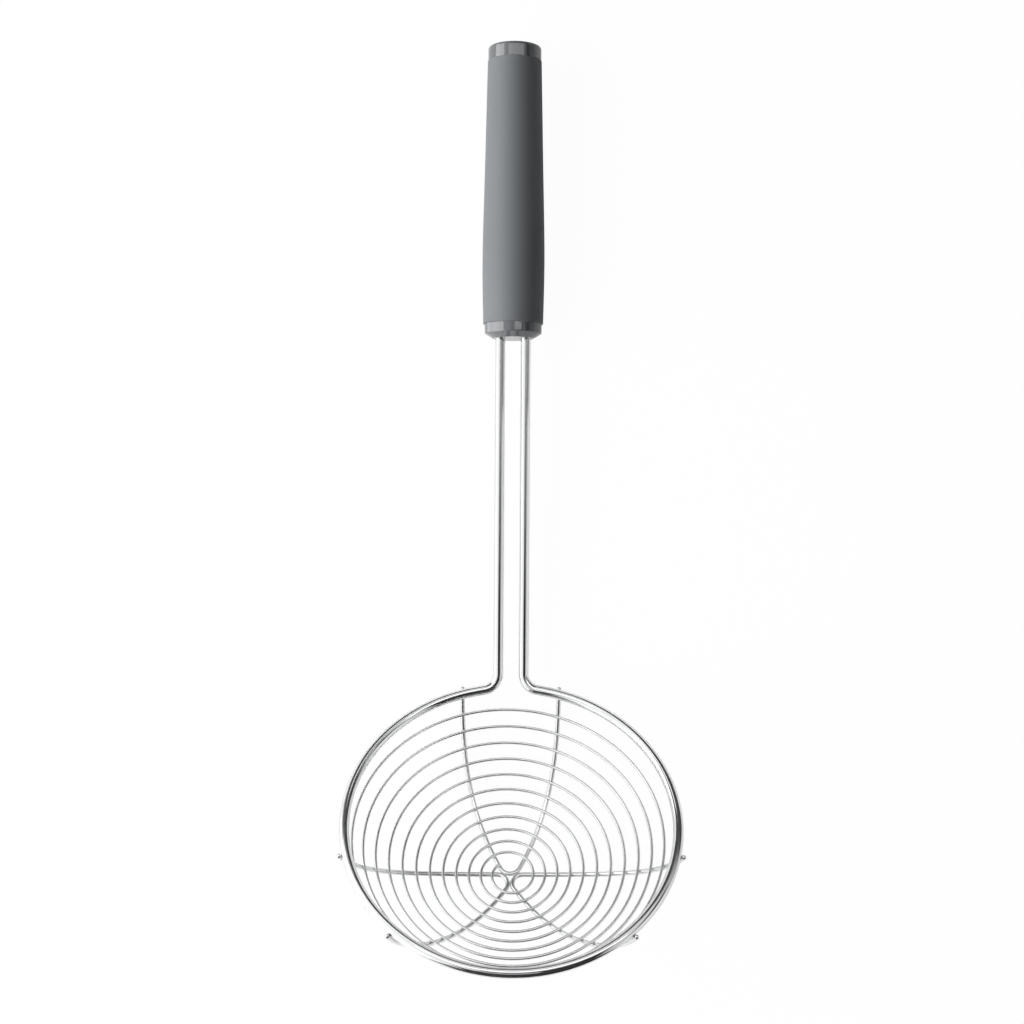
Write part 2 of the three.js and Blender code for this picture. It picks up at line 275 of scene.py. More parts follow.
# %% [markdown]
# ## Ribs
#
# Seen from above, a rib is a V with a round bend at the hub. Each leg splays away from the bend and then
# runs on beside its twin, so a quadratic Bezier curve with its knee where the two directions meet draws
# it. The plan is lifted to the bowl, and the bowl's normal is the side direction. Two more ribs are the
# same rib turned by thirds.

# %% Draw and turn the ribs
RIB_NAMES = ["rear", "left", "right"]
RIB_BEND_RADIUS = 0.0044
RIB_SPLAY = np.radians(28)
RIB_END_SPACING = 0.0404
RIB_END_LENGTH = 0.0017
RIB_SIDES = 24
RIB_BEND_STEPS, RIB_LEG_STEPS = 24, 110


def rib_line():
    """A bend, then a Bezier leg (1-t)^2 start + 2t(1-t) knee + t^2 end, mirrored and lifted to the bowl."""
    bend_centre = (RIB_BEND_RADIUS + RIB_WIRE / 2 - WELD_BITE / 2) / np.sin(np.pi / len(RIB_NAMES))
    bend_angle = np.pi / 2 - RIB_SPLAY
    half_spacing = RIB_END_SPACING / 2
    end_radius = np.interp(seat_length + RIB_END_LENGTH - RIB_WIRE / 2, wall_length, wall_radius)

    angle = np.linspace(0, bend_angle, RIB_BEND_STEPS)
    bend = np.column_stack([RIB_BEND_RADIUS * np.sin(angle), bend_centre - RIB_BEND_RADIUS * np.cos(angle)])
    start = bend[-1]
    knee = np.array([half_spacing, start[1] + (half_spacing - start[0]) / np.tan(RIB_SPLAY)])
    end = np.array([half_spacing, np.sqrt(end_radius**2 - half_spacing**2)])
    t = np.linspace(0, 1, RIB_LEG_STEPS)[1:, None]
    leg = (1 - t) ** 2 * start + 2 * t * (1 - t) * knee + t**2 * end
    right = np.concatenate([bend, leg])
    return on_bowl(np.concatenate([right[:0:-1] * [-1, 1], right]))


def turned_about_bowl(points, angle):
    """Points turned about the bowl's axis."""
    cosine, sine = np.cos(angle), np.sin(angle)
    return points @ np.array([[cosine, sine, 0], [-sine, cosine, 0], [0, 0, 1]])


ribs = []
for index, rib_name in enumerate(RIB_NAMES):
    line = turned_about_bowl(rib_line(), index * 2 * np.pi / len(RIB_NAMES))
    rib = make_piece(f"drawn_rib_{rib_name}", *swept(line, bowl_normal(line), RIB_WIRE, RIB_SIDES))
    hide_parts(f"rib_wire_{rib_name}")
    ribs.append(rib)

# %% [markdown]
# ## Spiral wire
#
# The thin wire winds from the hub to just under the rim, on the inner side of the ribs. Its place up the
# wall is a length along the ellipse. That length grows faster towards the rim, because the turns open out
# there, so the climb is a quadratic in the share of turns. The wire then steps in from the wall by half
# of both wires.

# %% Wind the spiral
SPIRAL_WIRE = 0.0012
SPIRAL_START_RADIUS = 0.0068
SPIRAL_START_AZIMUTH = np.radians(133)
SPIRAL_TURNS = 11.26
SPIRAL_RIM_DROP = 0.0085
SPIRAL_PITCH_GROWTH = 1.66
SPIRAL_STEPS_PER_TURN = 108
SPIRAL_SIDES = 14


def spiral_line():
    """Climb = u (2 + (growth - 1) u) / (1 + growth) of the wall's length. The azimuth grows evenly."""
    share = np.linspace(0, 1, round(SPIRAL_TURNS * SPIRAL_STEPS_PER_TURN))
    climb = share * (2 + (SPIRAL_PITCH_GROWTH - 1) * share) / (1 + SPIRAL_PITCH_GROWTH)
    start = np.interp(SPIRAL_START_RADIUS, wall_radius, wall_length)
    end = np.interp(-SPIRAL_RIM_DROP, wall_height, wall_length)
    angle = np.interp(start + (end - start) * climb, wall_length, wall_angle)

    wall = np.column_stack([bowl_semi_width * np.sin(angle), bowl_centre - bowl_semi_height * np.cos(angle)])
    inward = unit(np.column_stack([-bowl_semi_height * np.sin(angle), bowl_semi_width * np.cos(angle)]))
    radius, height = (wall + inward * ((RIB_WIRE + SPIRAL_WIRE) / 2 - WELD_BITE)).T
    azimuth = SPIRAL_START_AZIMUTH + 2 * np.pi * SPIRAL_TURNS * share
    return np.column_stack([radius * np.cos(azimuth), radius * np.sin(azimuth), height])


line = spiral_line()
spiral_wire = make_piece("drawn_spiral", *swept(line, bowl_normal(line), SPIRAL_WIRE, SPIRAL_SIDES))
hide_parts("spiral_wire")

# %% [markdown]
# ## Turned handle pieces
#
# The handle's pieces are round, so each is an outline of radius against distance from the neck, spun
# about the handle's axis. A hard corner in an outline looks false, because moulded corners are never
# sharp: each is replaced by a short Bezier curve. Two extra points just outside every corner stop the
# smooth shading from bleeding onto the flats beside it.


# %% Spin an outline about the handle
def softened(corners, cut, steps=6):
    """An outline with each inner corner replaced by the curve (1-t)^2 a + 2t(1-t) corner + t^2 b.

    a and b lie one cut before and after the corner. A point a quarter of a cut further out on each side comes
    with them, to hold the shading.
    """
    corners = np.asarray(corners, dtype=float)
    middle = corners[1:-1]
    cut = np.broadcast_to(cut, len(middle))[:, None]
    back = unit(corners[:-2] - middle)
    on = unit(corners[2:] - middle)
    t = np.linspace(0, 1, steps)[None, :, None]
    a, b, corner = (middle + cut * back)[:, None], (middle + cut * on)[:, None], middle[:, None]
    curve = (1 - t) ** 2 * a + 2 * t * (1 - t) * corner + t**2 * b
    held = np.concatenate([a + 0.25 * (a - corner), curve, b + 0.25 * (b - corner)], axis=1)
    return np.concatenate([corners[:1], held.reshape(-1, 2), corners[-1:]])


def spun(outline, sides):
    """Rings of an outline about the handle's axis: (r sin(a), distance, r cos(a)) from the neck."""
    angle = np.arange(sides) * 2 * np.pi / sides
    radius, distance = outline[:, :1], outline[:, 1:]
    return np.stack(np.broadcast_arrays(radius * np.sin(angle), distance, radius * np.cos(angle)), axis=-1)


def on_handle(points):
    """Points of the handle's own frame on the table: risen about X, moved to the neck, and laid."""
    cosine, sine = np.cos(HANDLE_RISE), np.sin(HANDLE_RISE)
    risen = points @ np.array([[1, 0, 0], [0, cosine, sine], [0, -sine, cosine]])
    return laid(risen + neck_corner * [0, 1, 1])


# %% [markdown]
# ## Soft sleeve
#
# The sleeve swells to a belly near its front and thins towards the butt. Four points set its outline, and
# a Catmull-Rom curve runs through them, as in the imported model. Its ends turn in to the core that it is
# moulded on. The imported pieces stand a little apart. Here each one reaches over its half of the gap, so
# that no dark line shows where the sleeve meets its neighbours.

# %% Mould the sleeve
HANDLE_SIDES = 160
GRIP_START = 0.1527
GRIP_LENGTH = 0.1107
GRIP_BELLY_DISTANCE = 0.0284
GRIP_FRONT_RADIUS = 0.01262
GRIP_BELLY_RADIUS = 0.01305
GRIP_BUTT_RADIUS = 0.01137
GRIP_EDGE_ROUND = 0.0002
CORE_BORE = 0.0095
SEAM_CLOSE = 0.00018
FINE_ROUND = 0.00015
GRIP_STEPS = 40


def grip_outline():
    """Hermite curves through four points. Each tangent is half the chord between a point's neighbours."""
    middle = (GRIP_BELLY_DISTANCE + GRIP_LENGTH) / 2
    knots = np.array([
        [GRIP_FRONT_RADIUS, 0],
        [GRIP_BELLY_RADIUS, GRIP_BELLY_DISTANCE],
        [(GRIP_BELLY_RADIUS + GRIP_BUTT_RADIUS) / 2, middle],
        [GRIP_BUTT_RADIUS, GRIP_LENGTH],
    ])
    padded = np.pad(knots, ((1, 1), (0, 0)), mode="edge")
    slope = (padded[2:] - padded[:-2])[:, None] / 2
    t = np.linspace(0, 1, GRIP_STEPS, endpoint=False)[None, :, None]
    rise = 3 * t**2 - 2 * t**3
    curve = (
        (1 - rise) * knots[:-1, None] + rise * knots[1:, None]
        + (t**3 - 2 * t**2 + t) * slope[:-1] + (t**3 - t**2) * slope[1:]
    )
    return np.concatenate([curve.reshape(-1, 2), knots[-1:]]) + [0, GRIP_START]


side = grip_outline()
front, back = GRIP_START - SEAM_CLOSE, GRIP_START + GRIP_LENGTH + SEAM_CLOSE
front_edge = softened([[CORE_BORE, front], [side[0, 0], front], side[2]], GRIP_EDGE_ROUND)[:-1]
back_edge = softened([side[-3], [side[-1, 0], back], [CORE_BORE, back]], GRIP_EDGE_ROUND)[1:]
sleeve_outline = np.concatenate([front_edge, side[2:-2], back_edge])
vertices, faces = skin(spun(sleeve_outline, HANDLE_SIDES))
grip_sleeve = make_piece(
    "soft_sleeve", on_handle(vertices), faces, ring_grain(sleeve_outline[:, 1], HANDLE_SIDES),
)
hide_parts("grip_sleeve")

# %% [markdown]
# ## End cap
#
# The glossy cap closes the butt. It is a shade narrower than the sleeve, which gives the fine step
# between them, and its edge has a small round. Inside it has a recess for the core. Both ends of its
# outline lie on the axis, so a single vertex closes each.

# %% Turn the cap
CAP_START = 0.2637
CAP_LENGTH = 0.0061
CAP_RADIUS = 0.0112
CAP_EDGE_ROUND = 0.0015
CAP_RECESS_RADIUS = 0.0079
CAP_RECESS_DEPTH = 0.0037
CAP_EDGE_STEPS, CAP_FACE_STEPS = 18, 12


def cap_outline():
    """The recess, the front rim and the side, then a quarter circle to the flat butt."""
    front, recess_end, end = CAP_START - SEAM_CLOSE, CAP_START + CAP_RECESS_DEPTH, CAP_START + CAP_LENGTH
    angle = np.linspace(0, np.pi / 2, CAP_EDGE_STEPS)
    edge = np.column_stack([np.cos(angle), np.sin(angle)]) * CAP_EDGE_ROUND
    edge += [CAP_RADIUS - CAP_EDGE_ROUND, end - CAP_EDGE_ROUND]
    hollow = [[0, recess_end], [CAP_RECESS_RADIUS, recess_end], [CAP_RECESS_RADIUS, front]]
    recess = softened([*hollow, [CAP_RADIUS, front], edge[0]], FINE_ROUND)
    flat = np.linspace(edge[-1, 0], 0, CAP_FACE_STEPS)[1:]
    return np.concatenate([recess[:-1], edge, np.column_stack([flat, np.full(len(flat), end)])])


outline = cap_outline()
rings = spun(outline[1:-1], HANDLE_SIDES)
tips = np.column_stack([[0, 0], outline[[0, -1], 1], [0, 0]])
vertices, faces = skin(rings, tips)
grain = ring_grain(outline[1:-1, 1], HANDLE_SIDES, outline[[0, -1], 1])
end_cap = make_piece("glossy_cap", on_handle(vertices), faces, grain)
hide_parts("end_cap")

# %% [markdown]
# ## Ferrule
#
# The ferrule is the glossy collar where the rods enter. Its outside is turned: a flat face, a chamfer and
# a side with a slight crown. The face has two holes, so it is no surface of revolution. It is two half
# discs instead, each drawn as straight lines from a hole's edge to the half disc's outline. The outline
# uses the same corners as the turned side, so the grids share their edges, and merging the doubles closes
# the whole piece.

# %% Mould the ferrule
FERRULE_START = 0.1464
FERRULE_LENGTH = 0.006
FERRULE_RADIUS = 0.01205
FERRULE_FACE_RADIUS = 0.0086
FERRULE_CHAMFER_LENGTH = 0.0021
FERRULE_WALL = 0.003
FERRULE_CROWN = 0.00012
FACE_LIP = 0.0005
FACE_AND_CHAMFER_ROUNDS = [0.0002, 0.0003]
ROD_CLEARANCE = 0.00012
ROD_HOLE_RADIUS = FRAME_WIRE / 2 + ROD_CLEARANCE
FERRULE_SIDE_STEPS, MIDDLE_STEPS, HOLE_RINGS = 14, 40, 7
RING_CROWDING = 1.5
NEVER_ZERO, MERGE_DISTANCE = 1e-9, 1e-6


def ferrule_outline():
    """Face edge, chamfer, and a side whose radius falls with the squared distance from its back edge."""
    back = FERRULE_START + FERRULE_LENGTH + SEAM_CLOSE
    chamfer_end = FERRULE_START + FERRULE_CHAMFER_LENGTH
    fall = np.linspace(1, 0, FERRULE_SIDE_STEPS)
    side = np.column_stack([FERRULE_RADIUS - FERRULE_CROWN * fall**2, back + (chamfer_end - back) * fall])
    face = [[FERRULE_FACE_RADIUS - FACE_LIP, FERRULE_START], [FERRULE_FACE_RADIUS, FERRULE_START]]
    rim = softened([*face, side[0], side[2]], FACE_AND_CHAMFER_ROUNDS)
    end = softened([side[-2], [FERRULE_RADIUS, back], [CORE_BORE, back]], FINE_ROUND)
    recess = [[CORE_BORE, FERRULE_START + FERRULE_WALL]]
    return np.concatenate([rim[1:-1], side[2:-1], end[1:], recess])


def half_disc(radius, distance, mirror):
    """Lines from a rod hole's edge to the outline of half a disc, to one side of the handle's middle."""
    half_turn = np.arange(HANDLE_SIDES // 2 + 1) * 2 * np.pi / HANDLE_SIDES
    arc = radius * np.column_stack([np.sin(half_turn), np.cos(half_turn)])
    heights = np.linspace(-radius, radius, MIDDLE_STEPS + 2)[1:-1]
    middle_line = np.column_stack([np.zeros(MIDDLE_STEPS), heights])
    rim = np.concatenate([arc, middle_line])
    hole = [ROD_SPACING / 2, 0]
    edge = hole + ROD_HOLE_RADIUS * unit(rim - hole)
    share = np.linspace(0, 1, HOLE_RINGS)[:, None, None] ** RING_CROWDING
    flat = (edge + (rim - edge) * share) * [mirror, 1]
    return np.stack([flat[..., 0], np.full(flat.shape[:2], distance), flat[..., 1]], axis=-1)


def grid_faces(rows, columns, flipped):
    """Four-cornered faces over a grid whose columns close into a loop, turned over where flipped."""
    number = np.arange(rows * columns).reshape(rows, columns)
    across = np.roll(number, -1, axis=1)
    faces = np.stack([number[:-1], across[:-1], across[1:], number[1:]], axis=-1).reshape(-1, 4)
    return faces[:, ::-1] if flipped else faces


def ferrule_grids():
    """The ferrule's grids with their sense: the turned outside, then each half's face, hole and floor."""
    outline = ferrule_outline()
    grids = [(spun(outline, HANDLE_SIDES), False)]
    for mirror in (1, -1):
        face = half_disc(outline[0, 0], outline[0, 1], mirror)
        floor = half_disc(outline[-1, 0], outline[-1, 1], mirror)
        hole = np.stack([floor[0], face[0]])
        grids += [(face, mirror < 0), (floor[::-1], mirror < 0), (hole, mirror < 0)]
    return grids


grids = ferrule_grids()
starts = np.cumsum([0] + [grid.shape[0] * grid.shape[1] for grid, flipped in grids])
vertices = np.concatenate([grid.reshape(-1, 3) for grid, flipped in grids])
faces = np.concatenate([
    grid_faces(*grid.shape[:2], flipped) + start for (grid, flipped), start in zip(grids, starts)
])
around = unit(vertices[:, [2, 0]] + NEVER_ZERO)
ferrule = make_piece(
    "glossy_ferrule", on_handle(vertices), faces.tolist(), np.column_stack([around, vertices[:, 1]]),
)
joined = bmesh.new()
joined.from_mesh(ferrule.data)
bmesh.ops.remove_doubles(joined, verts=joined.verts, dist=MERGE_DISTANCE)
bmesh.ops.recalc_face_normals(joined, faces=joined.faces)
print("open edges left on the ferrule:", sum(len(edge.link_faces) != 2 for edge in joined.edges))
joined.to_mesh(ferrule.data)
joined.free()
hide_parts("ferrule")

# %% [markdown]
# ## Shader maths as Python
#
# A finish is a graph of nodes, and a graph built line by line is hard to read. One small class makes it
# read like arithmetic: it wraps a socket, and each operator on it adds a Math node. Every other node
# comes from one method that takes the node's type, its settings and its inputs.


# %% The shader expression class
class Tone:
    """A socket in a node tree. Arithmetic on it adds Math nodes."""

    def __init__(self, tree, socket=None):
        self.tree = tree
        self.socket = socket

    def node(self, kind, settings=None, inputs=None, output=0):
        """Adds a node: settings are set first, then each input gets a value or a link."""
        made = self.tree.nodes.new(kind)
        for name, value in (settings or {}).items():
            setattr(made, name, value)
        for name, value in (inputs or {}).items():
            if isinstance(value, Tone):
                self.tree.links.new(value.socket, made.inputs[name])
            else:
                made.inputs[name].default_value = value
        return Tone(self.tree, made.outputs[output] if len(made.outputs) else None)

    def maths(self, operation, first, second):
        return self.node("ShaderNodeMath", {"operation": operation}, {0: first, 1: second})

    def __add__(self, other):
        return self.maths("ADD", self, other)

    def __sub__(self, other):
        return self.maths("SUBTRACT", self, other)

    def __mul__(self, other):
        return self.maths("MULTIPLY", self, other)

    def __radd__(self, other):
        return self.maths("ADD", other, self)

    def __rsub__(self, other):
        return self.maths("SUBTRACT", other, self)

    def __rmul__(self, other):
        return self.maths("MULTIPLY", other, self)


def blank_finish(name):
    """A material with an empty node tree, and a Tone to start its graph."""
    material = bpy.data.materials.new(name)
    material.use_nodes = True
    material.node_tree.nodes.clear()
    return material, Tone(material.node_tree)


def noise(start, coordinates, scale, detail=2.0):
    """Soft noise between 0 and 1, over the given coordinates."""
    return start.node("ShaderNodeTexNoise", {}, {"Vector": coordinates, "Scale": scale, "Detail": detail})


def tinted(start, share, low, high):
    """A colour that goes from low to high with the share."""
    settings = {"data_type": "RGBA"}
    return start.node("ShaderNodeMix", settings, {0: share, 6: (*low, 1), 7: (*high, 1)}, output=2)


def bumped(start, height, depth):
    """A normal that leans as if the surface rose by the height times the depth, in metres."""
    return start.node("ShaderNodeBump", {}, {"Height": height, "Distance": depth, "Strength": 1.0})


def surfaced(start, **inputs):
    """The Principled shader with these inputs, joined to the material's output."""
    sockets = {name.replace("_", " "): value for name, value in inputs.items()}
    shader = start.node("ShaderNodeBsdfPrincipled", {}, sockets)
    start.node("ShaderNodeOutputMaterial", {}, {"Surface": shader})


# %% [markdown]
# ## Polished and drawn steel
#
# Wire is pulled through a die, which leaves fine lines along it. On the ribs and the spiral they are
# plain to see and make the reflections soft. The frame wire was polished afterwards, so only faint lines
# and slight smears are left. Noise over the grain gives such lines: its first two parts go around the
# wire and change fast, and the third counts metres along it and changes slowly.


# %% Steel finishes
SMEARS_PER_METRE = 90.0


def steel(name, low, high, roughness, smear, line_scale, line_depth):
    """Metal with lines along the wire in its normal, and cloudy smears in its roughness and tint."""
    material, start = blank_finish(name)
    grain = start.node("ShaderNodeAttribute", {"attribute_name": "grain"}, output="Vector")
    place = start.node("ShaderNodeTexCoord", output="Object")
    lines = noise(start, grain, line_scale)
    clouds = noise(start, place, SMEARS_PER_METRE, detail=4.0)
    surfaced(
        start,
        Base_Color=tinted(start, clouds, low, high),
        Metallic=1.0,
        Roughness=roughness + smear * (clouds * 0.7 + lines * 0.3),
        Normal=bumped(start, lines, line_depth),
    )
    return material


polished_steel = steel(
    "polished steel", (0.73, 0.735, 0.74), (0.79, 0.793, 0.796),
    roughness=0.05, smear=0.06, line_scale=20.0, line_depth=3e-7,
)
drawn_steel = steel(
    "drawn steel", (0.72, 0.725, 0.73), (0.8, 0.805, 0.81),
    roughness=0.16, smear=0.12, line_scale=9.0, line_depth=5e-7,
)

frame_wire.data.materials.append(polished_steel)
for wire in (*ribs, spiral_wire):
    wire.data.materials.append(drawn_steel)
print("steel finishes:", polished_steel.name, "and", drawn_steel.name)

# %% [markdown]
# ## Soft and glossy plastics
#
# The sleeve is a soft-touch moulding: matte, with a grain so fine that it only takes the edge off the
# light, and faintly smoother in patches, as from handling. The two ends are of a slightly darker grey,
# and glossy: nearly a mirror for bright lamps, with the slight waviness that moulded plastic has.


# %% Plastic finishes
PORES_PER_METRE, PORE_DEPTH = 5200.0, 8e-6
WAVES_PER_METRE, WAVE_DEPTH = 400.0, 2e-6
WEAR_PER_METRE = 45.0
MARKS_PER_METRE = 160.0
MOTTLE_PER_METRE = 300.0


def soft_touch(name):
    """Matte grey with a grain of about a fifth of a millimetre, and clouds of slightly different wear."""
    material, start = blank_finish(name)
    place = start.node("ShaderNodeTexCoord", output="Object")
    pores = noise(start, place, PORES_PER_METRE, detail=1.0)
    clouds = noise(start, place, WEAR_PER_METRE, detail=3.0)
    surfaced(
        start,
        Base_Color=tinted(start, clouds * 0.6 + pores * 0.4, (0.111, 0.118, 0.1245), (0.129, 0.1365, 0.144)),
        Roughness=0.5 + 0.1 * clouds + 0.06 * pores,
        Specular_IOR_Level=0.25,
        Normal=bumped(start, pores, PORE_DEPTH),
    )
    return material


def glossy_moulding(name):
    """Glossy grey with a slow waviness in its normal and faint handling marks in its roughness."""
    material, start = blank_finish(name)
    place = start.node("ShaderNodeTexCoord", output="Object")
    waves = noise(start, place, WAVES_PER_METRE, detail=1.0)
    marks = noise(start, place, MARKS_PER_METRE, detail=5.0)
    surfaced(
        start,
        Base_Color=tinted(start, marks, (0.0775, 0.0825, 0.088), (0.0895, 0.0955, 0.1015)),
        Roughness=0.06 + 0.06 * marks,
        IOR=1.65,
        Normal=bumped(start, waves, WAVE_DEPTH),
    )
    return material


def plain_moulding(name):
    """Plain dark grey with the dull mottle of an unpolished mould."""
    material, start = blank_finish(name)
    place = start.node("ShaderNodeTexCoord", output="Object")
    mottle = noise(start, place, MOTTLE_PER_METRE, detail=3.0)
    surfaced(
        start,
        Base_Color=tinted(start, mottle, (0.06, 0.064, 0.07), (0.08, 0.084, 0.09)),
        Roughness=0.45 + 0.2 * mottle,
    )
    return material


grip_sleeve.data.materials.append(soft_touch("soft sleeve"))
glossy_grey = glossy_moulding("glossy grey")
for piece in (ferrule, end_cap):
    piece.data.materials.append(glossy_grey)
core = frame["nodes"]["handle_core"].data.materials
core.clear()
core.append(plain_moulding("plain core"))
print("plastic finishes:", [material.name for material in bpy.data.materials if "steel" not in material.name])

# %% [markdown]
# ## Floor
#
# The tool lies on plain white. A white floor that is only lit would turn grey between the lamps, so a ray
# from the camera, or one that metal or glass sends on, also sees a glow of exactly white. The camera sees
# little else, and the small share of the lit floor that stays in the mix keeps the faint shadow under the
# tool. Metal sees some of each, so it mirrors the shadow as well. Light on its way to the object finds an
# ordinary pale surface.

# %% Lay the floor
FLOOR_HALF = 4.0
FLOOR_DROP = 0.0003
FLOOR_GLOW = 0.97
FLOOR_GLOW_IN_METAL = 0.4
FLOOR_COLOUR = (0.9, 0.9, 0.9, 1)


def stage_card(name, left, right, profile, material):
    """A sheet of the stage, not of the tool: a profile of (y, z) points drawn out from left to right."""
    points = np.array(profile, dtype=float)
    sides = [np.column_stack([np.full(len(points), x), points]) for x in (left, right)]
    first = np.arange(len(points) - 1)
    faces = np.column_stack([first, first + len(points), first + len(points) + 1, first + 1])
    mesh = bpy.data.meshes.new(name)
    mesh.from_pydata(np.concatenate(sides).tolist(), [], faces.tolist())
    mesh.materials.append(material)
    card = bpy.data.objects.new(name, mesh)
    bpy.context.collection.objects.link(card)
    return card


def seen_rays(start, in_metal):
    """1 for a ray from the camera or through glass, in_metal for one off a shiny surface, else 0."""
    camera = start.node("ShaderNodeLightPath", output="Is Camera Ray")
    metal = start.node("ShaderNodeLightPath", output="Is Glossy Ray")
    glass = start.node("ShaderNodeLightPath", output="Is Transmission Ray")
    return camera + in_metal * metal + glass


white_floor, start = blank_finish("white floor")
lit = start.node("ShaderNodeBsdfDiffuse", {}, {"Color": FLOOR_COLOUR})
glow = start.node("ShaderNodeEmission", {}, {"Color": (1, 1, 1, 1), "Strength": 1.0})
share = FLOOR_GLOW * seen_rays(start, FLOOR_GLOW_IN_METAL)
mixed = start.node("ShaderNodeMixShader", {}, {0: share, 1: lit, 2: glow})
start.node("ShaderNodeOutputMaterial", {}, {"Surface": mixed})

floor_profile = [(-FLOOR_HALF, -FLOOR_DROP), (FLOOR_HALF, -FLOOR_DROP)]
stage_card("white_floor", -FLOOR_HALF, FLOOR_HALF, floor_profile, white_floor)
print(f"floor: {2 * FLOOR_HALF} m wide, {FLOOR_DROP * 1000} mm under the tool")

# %% [markdown]
# ## Studio light
#
# Polished wire shows the whole room, so the room is what makes it look like metal. The key light is a
# tall soft box on the left: it brightens the left of the handle and leaves the right dark. At its full
# strength it would burn out on every wire, so it is hidden from reflections, and a dimmer box just in
# front of it is mirrored instead. A weak fill light over the tool is hidden in the same way. Pale panels
# over the tool and one on the right are mostly there to be mirrored. A photographer moves lamps and flags
# about until each piece shows the right reflection. Here a lamp that makes one reflection is linked to
# the pieces that show it. An area lamp's brightness to the eye is its power over pi times its area, so
# the power is worked out from a brightness where 1 is white.

# %% Hang the soft boxes
CEILING = 1.15
TO_RIGHT, TO_LEFT, UP, DOWN = (1, 0, 0), (-1, 0, 0), (0, 0, 1), (0, 0, -1)


def soft_box(name, centre, facing, width, height, brightness, lights_matte=True, mirrored=True, only=None):
    """A flat lamp of one brightness. Its width lies along Y, and it shines towards the facing direction.

    It may light matte surfaces, show in glossy ones, or both, and do so on the pieces of one collection only.
    """
    lamp = bpy.data.lights.new(name, "AREA")
    lamp.shape = "RECTANGLE"
    lamp.size, lamp.size_y = width, height
    lamp.energy = brightness * np.pi * width * height
    box = bpy.data.objects.new(name, lamp)
    backward = -unit(np.array(facing, dtype=float))
    wide = np.array([0.0, 1.0, 0.0])
    turn = np.eye(4)
    turn[:3, :3] = np.column_stack([wide, np.cross(backward, wide), backward])
    turn[:3, 3] = centre
    box.matrix_world = turn.T.tolist()
    box.visible_camera = False
    box.visible_diffuse = lights_matte
    box.visible_glossy = mirrored
    box.light_linking.receiver_collection = only
    bpy.context.collection.objects.link(box)
    print(f"{name}: {width} by {height} m, brightness {brightness}")


def mirrored_box(*shape, only=None):
    """A soft box that only reflections see."""
    soft_box(*shape, lights_matte=False, only=only)


def linked_pieces(name, pieces):
    """A collection that a lamp can be linked to."""
    collection = bpy.data.collections.new(name)
    for piece in pieces:
        collection.objects.link(piece)
    return collection


steel_wires = linked_pieces("steel wires", (frame_wire, *ribs, spiral_wire))
glossy_ends = linked_pieces("glossy ends", (ferrule, end_cap))

soft_box("left_key", (-0.95, -0.375, 0.575), TO_RIGHT, 1.65, 1.13, 7.4, mirrored=False)
mirrored_box("left_soft_box", (-0.93, -0.15, 0.575), TO_RIGHT, 2.1, 1.13, 1.2)
mirrored_box("left_gloss", (-0.94, -0.45, 0.575), TO_RIGHT, 1.5, 1.13, 2.8, only=glossy_ends)
mirrored_box("left_gloss_back", (-0.94, 0.6, 0.445), TO_RIGHT, 0.6, 0.87, 2.8, only=glossy_ends)
mirrored_box("floor_gloss", (-0.48, -0.1, 0.003), UP, 0.44, 0.9, 2.2, only=glossy_ends)
soft_box("left_panel", (-0.6, 0.27, CEILING), DOWN, 1.26, 0.7, 1.0)
mirrored_box("left_back_panel", (-1.22, 2.05, CEILING), DOWN, 2.3, 1.95, 1.1)
mirrored_box("left_front_panel", (-0.77, -0.7, CEILING), DOWN, 0.68, 0.4, 1.0)
mirrored_box("over_strip", (0.15, 0.52, CEILING - 0.01), DOWN, 0.24, 1.5, 1.5)
soft_box("over_fill", (0.15, -0.1, CEILING - 0.02), DOWN, 0.24, 1.5, 1.28, mirrored=False)
mirrored_box("collar_gloss", (0.4, 0.11, CEILING - 0.1), DOWN, 0.12, 0.6, 2.2, only=glossy_ends)
mirrored_box("over_panel", (0.53, 1.29, CEILING), DOWN, 3.42, 1.54, 0.75)
mirrored_box("right_panel", (1.2, -0.44, 0.55), TO_LEFT, 1.12, 1.04, 0.52, only=steel_wires)

# %% [markdown]
# ## Black cards
#
# White steel on white paper would nearly vanish. Photographers set black cards around such wire, just out
# of the picture: their reflections draw the dark lines along it. Two stand across the tool on either side
# of the handle and fade upwards. A dark grey one stands far behind and a black one in front. The last two
# hang over the tool, beside the camera, and draw the thin line along each rod, which fades towards the
# handle. The cards are for reflections only, so every other ray passes through them.

# %% Set the black cards
BLACK = 0.04
GREY = 0.06
DARK = 0.075
PALE = 0.75
HANGING_BLACK = 0.02
NEAR_CARDS_AT = 0.12
HANGING_HEIGHT = 1.1
CARD_FOOT = 0.001


def card_finish(name, shade):
    """Plain matte card."""
    material, start = blank_finish(name)
    matte = start.node("ShaderNodeBsdfDiffuse", {}, {"Color": (shade, shade, shade, 1)})
    start.node("ShaderNodeOutputMaterial", {}, {"Surface": matte})
    return material


def fading_card_finish(name, dark, pale, axis, dark_at, pale_at):
    """Matte card that goes from dark to pale along one axis."""
    material, start = blank_finish(name)
    place = start.node("ShaderNodeTexCoord", output="Object")
    along = start.node("ShaderNodeSeparateXYZ", {}, {"Vector": place}, output=axis)
    share = start.node("ShaderNodeMapRange", {}, {"Value": along, "From Min": dark_at, "From Max": pale_at})
    colour = tinted(start, share, [dark] * 3, [pale] * 3)
    matte = start.node("ShaderNodeBsdfDiffuse", {}, {"Color": colour})
    start.node("ShaderNodeOutputMaterial", {}, {"Surface": matte})
    return material


def reflected_card(name, left, right, profile, material):
    """A card that only reflections see."""
    card = stage_card(name, left, right, profile, material)
    card.visible_camera = card.visible_diffuse = card.visible_shadow = card.visible_transmission = False
    print(f"{name}: {material.name}")


